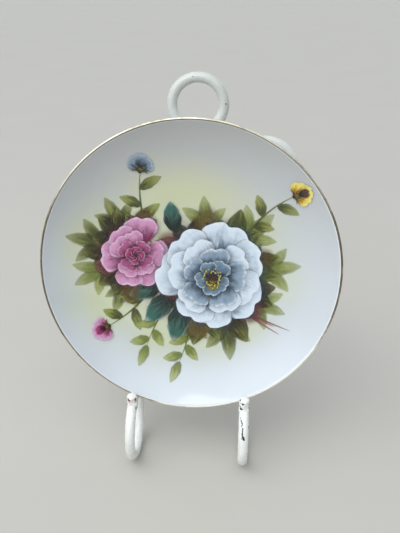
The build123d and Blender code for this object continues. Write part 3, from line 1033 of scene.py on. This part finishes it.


# The paint is greyer toward the top as painted shade, rubbed off round the hinge and chipped at the feet
# and the ring
def chippedPaint():
    material, bench, shader = newMaterial("chippedPaint")
    place = bench.add("ShaderNodeTexCoord", None, None, 3)

    def awayFrom(spot):
        return bench.vector("DISTANCE", place, spot, 1)

    tone = bench.noise(place, 55.0)
    white = bench.mix(tone.ramp(0.4, 0.7), colour(*standPaint["white"]), colour(*standPaint["cream"]))
    # Painted shade: grey laid over the paint with height, slightly broken by the tone noise
    level = bench.axes(place)[2]
    standTopShadeMask = (level + tone * 0.05).ramp(*standPaint["weatheredLevel"])
    white = bench.mix(standTopShadeMask * 0.85, white, colour(*standPaint["weathered"]))
    blush = 1.0 - awayFrom(standPaint["blushPlace"]).ramp(*standPaint["blushReach"])
    white = bench.mix(blush * tone.ramp(0.25, 0.5) * 0.55, white, colour(*standPaint["blush"]))
    grime = 1.0 - awayFrom(standPaint["hinge"]).ramp(*standPaint["grimeReach"])
    white = bench.mix(grime * tone.ramp(0.3, 0.6) * 0.35, white, colour(*standPaint["grime"]))
    lumps = bench.noise(place, 170.0, 2.0)
    ragged = (bench.noise(place, 1300.0, 3.0, 0.6) - 0.5) * standPaint["ragged"]
    areas = bench.noise(place, 40.0, 2.0).ramp(0.5, 0.58)
    chip = bench.noise(place, 300.0, 4.0, 0.62).ramp(0.715, 0.735) * areas
    rubbed = 1.0 - awayFrom(standPaint["hinge"]).ramp(*standPaint["rubbedReach"])
    flaked = (bench.noise(place, 420.0, 4.0, 0.66) + rubbed * 0.06).ramp(0.70, 0.715)
    chip = chip.maths("MAXIMUM", flaked * rubbed.ramp(0.05, 0.3))
    for spot, reach in chips:
        near = awayFrom(spot) + ragged
        chip = chip.maths("MAXIMUM", 1.0 - near.ramp(reach * standPaint["edge"], reach * 0.98))
    wobble = (bench.noise(place, 520.0, 2.0) - 0.5) * standPaint["wobble"]
    drift = bench.vector("ADD", place, bench.combine(wobble, wobble * 0.3, 0.0))
    for start, end, reach in scratches:
        near = scratchNear(bench, drift, start, end) + ragged * 0.9
        chip = chip.maths("MAXIMUM", 1.0 - near.ramp(reach * standPaint["edge"], reach))
    metal = bench.mix(lumps.ramp(0.5, 0.75), colour(*standPaint["iron"]), colour(*standPaint["rust"]))
    plug(bench, shader, "Base Color", bench.mix(chip, white, metal))
    plug(bench, shader, "Roughness", chip * 0.45 + 0.20 + lumps * 0.14)
    height = lumps * 0.9 + bench.noise(place, 620.0, 2.0) * 0.14 - chip * 1.6
    relief = {"Strength": 0.6, "Distance": standPaint["relief"], "Height": height}
    plug(bench, shader, "Normal", bench.add("ShaderNodeBump", None, relief))
    shader.inputs["Coat Weight"].default_value = standPaint["coat"]
    return material


paint = chippedPaint()
bodies = frame["record"]["behaviour"]["bodies"]
for name in bodies["stand"] + bodies["rear_leg"]:
    materials = frame["nodes"][name].data.materials
    materials.clear()
    materials.append(paint)
print("stand painted")

# The upturned tips: a blob of weld at the foot and paint in thick lumps
tip = {
    "hooks": {-1: "left", 1: "right"},
    "foot": (0.0372, -0.06973, 0.04545),
    "lean": 6.0,
    "height": {-1: 0.00600, 1: 0.00700},
    "radius": 0.00340,
    "shoulder": 0.0022,
    "sunk": 0.0030,
    "weldLevel": 0.0012,
    "weldReach": 0.0014,
    "weldSwell": 0.0011,
    "lumps": 0.00075,
    "coarse": 360,
    "fine": 1000,
    "backSwell": 0.0002,
    "frontSwell": 0.0016,
    "spokes": 44,
    "merge": 0.00002,
}


def tipProfile(height, steps=30):
    points = []
    length = height + tip["shoulder"] + tip["sunk"]
    for i in range(steps + 1):
        level = length * math.sin(math.pi / 2 * i / steps) - tip["sunk"]
        over = max(0.0, level - height) / tip["shoulder"]
        points.append((tip["radius"] * max(0.0, 1 - over ** 3.0) ** 0.5, level))
    return points


# The lumps fade toward the plate, so the tip stays clear of it
def tipSwell(place, away, level, side):
    lump = noise.noise(place * tip["coarse"] + Vector((side, 0, 0))) * 0.7
    lump += noise.noise(place * tip["fine"]) * 0.3
    free = max(0.0, min(1.0, 0.35 - away.y * 1.4))
    nearWeld = math.exp(-((level - tip["weldLevel"]) / tip["weldReach"]) ** 2)
    swell = tip["lumps"] * lump * (0.35 + free * 0.65)
    swell += tip["weldSwell"] * nearWeld * free * (0.75 + lump * 0.5)
    return min(swell, tip["backSwell"] + free * tip["frontSwell"])


def lumpyTip(side):
    spokes, lean = tip["spokes"], math.radians(tip["lean"])
    axis = Vector((0, -math.sin(lean), math.cos(lean)))
    across, back = Vector((1, 0, 0)), axis.cross(Vector((1, 0, 0)))
    foot = Vector((tip["foot"][0] * side, tip["foot"][1], tip["foot"][2]))
    build = bmesh.new()
    rings = []
    for radius, level in tipProfile(tip["height"][side]):
        ring = []
        for i in range(spokes):
            angle = 2 * math.pi * i / spokes
            away = across * math.cos(angle) + back * math.sin(angle)
            place = foot + axis * level + away * radius
            ring.append(build.verts.new(place + away * tipSwell(place, away, level, side)))
        rings.append(ring)
    joinRings(build, rings)
    build.faces.new(list(reversed(rings[0])))
    build.faces.new(rings[-1])
    bmesh.ops.remove_doubles(build, verts=build.verts, dist=tip["merge"])
    hand = tip["hooks"][side]
    name = hand + "_painted_tip"
    placed(name, finishedMesh(build, name), paint, "stand", [hand + "_rim_hook"])


for side in (-1, 1):
    lumpyTip(side)
print("tips ready")

# Beads of weld where the crossbars meet the side rods, painted over with the rest
weld = {
    "bars": ("lower_crossbar", "hinge_crossbar"),
    "rod": 0.00325,
    "barEnd": 0.004,
    "thick": 0.0009,
    "thinnest": 0.0004,
    "lumps": 0.0009,
    "coarse": 520,
    "fine": 1300,
    "spread": 1.25,
    "spokes": 44,
    "round": 12,
}


# The seam where a thin round bar runs into a thicker one, as a lumpy ring
def weldBead(build, bar, side):
    spots = [vertex.co for vertex in bar.data.vertices]
    end = max(spot.x * side for spot in spots)
    deep = [spot.y for spot in spots]
    tall = [spot.z for spot in spots if spot.x * side > end - weld["barEnd"]]
    middle = Vector((0, (min(deep) + max(deep)) / 2, (min(tall) + max(tall)) / 2))
    reach = (max(deep) - min(deep)) / 2
    rings = []
    for i in range(weld["spokes"]):
        angle = 2 * math.pi * i / weld["spokes"]
        out = Vector((0, math.cos(angle), math.sin(angle)))
        saddle = (weld["rod"] ** 2 - (out.y * reach) ** 2) ** 0.5
        along = end - saddle + (weld["rod"] ** 2 - reach ** 2) ** 0.5
        centre = middle + out * reach + Vector((along * side, 0, 0))
        lump = noise.noise(centre * weld["coarse"] + Vector((0, 0, side)))
        lump += 0.4 * noise.noise(centre * weld["fine"])
        thick = max(weld["thinnest"], weld["thick"] + weld["lumps"] * lump)
        ring = []
        for j in range(weld["round"]):
            turn = 2 * math.pi * j / weld["round"]
            away = out * math.cos(turn) + Vector((math.sin(turn) * weld["spread"], 0, 0))
            ring.append(build.verts.new(centre + away * thick))
        rings.append(ring)
    joinRings(build, rings + rings[:1])


def weldBeads():
    build = bmesh.new()
    for name in weld["bars"]:
        for side in (-1, 1):
            weldBead(build, frame["nodes"][name], side)
    placed("weld_beads", finishedMesh(build, "weld_beads"), paint, "stand")


weldBeads()
print("weld beads ready")
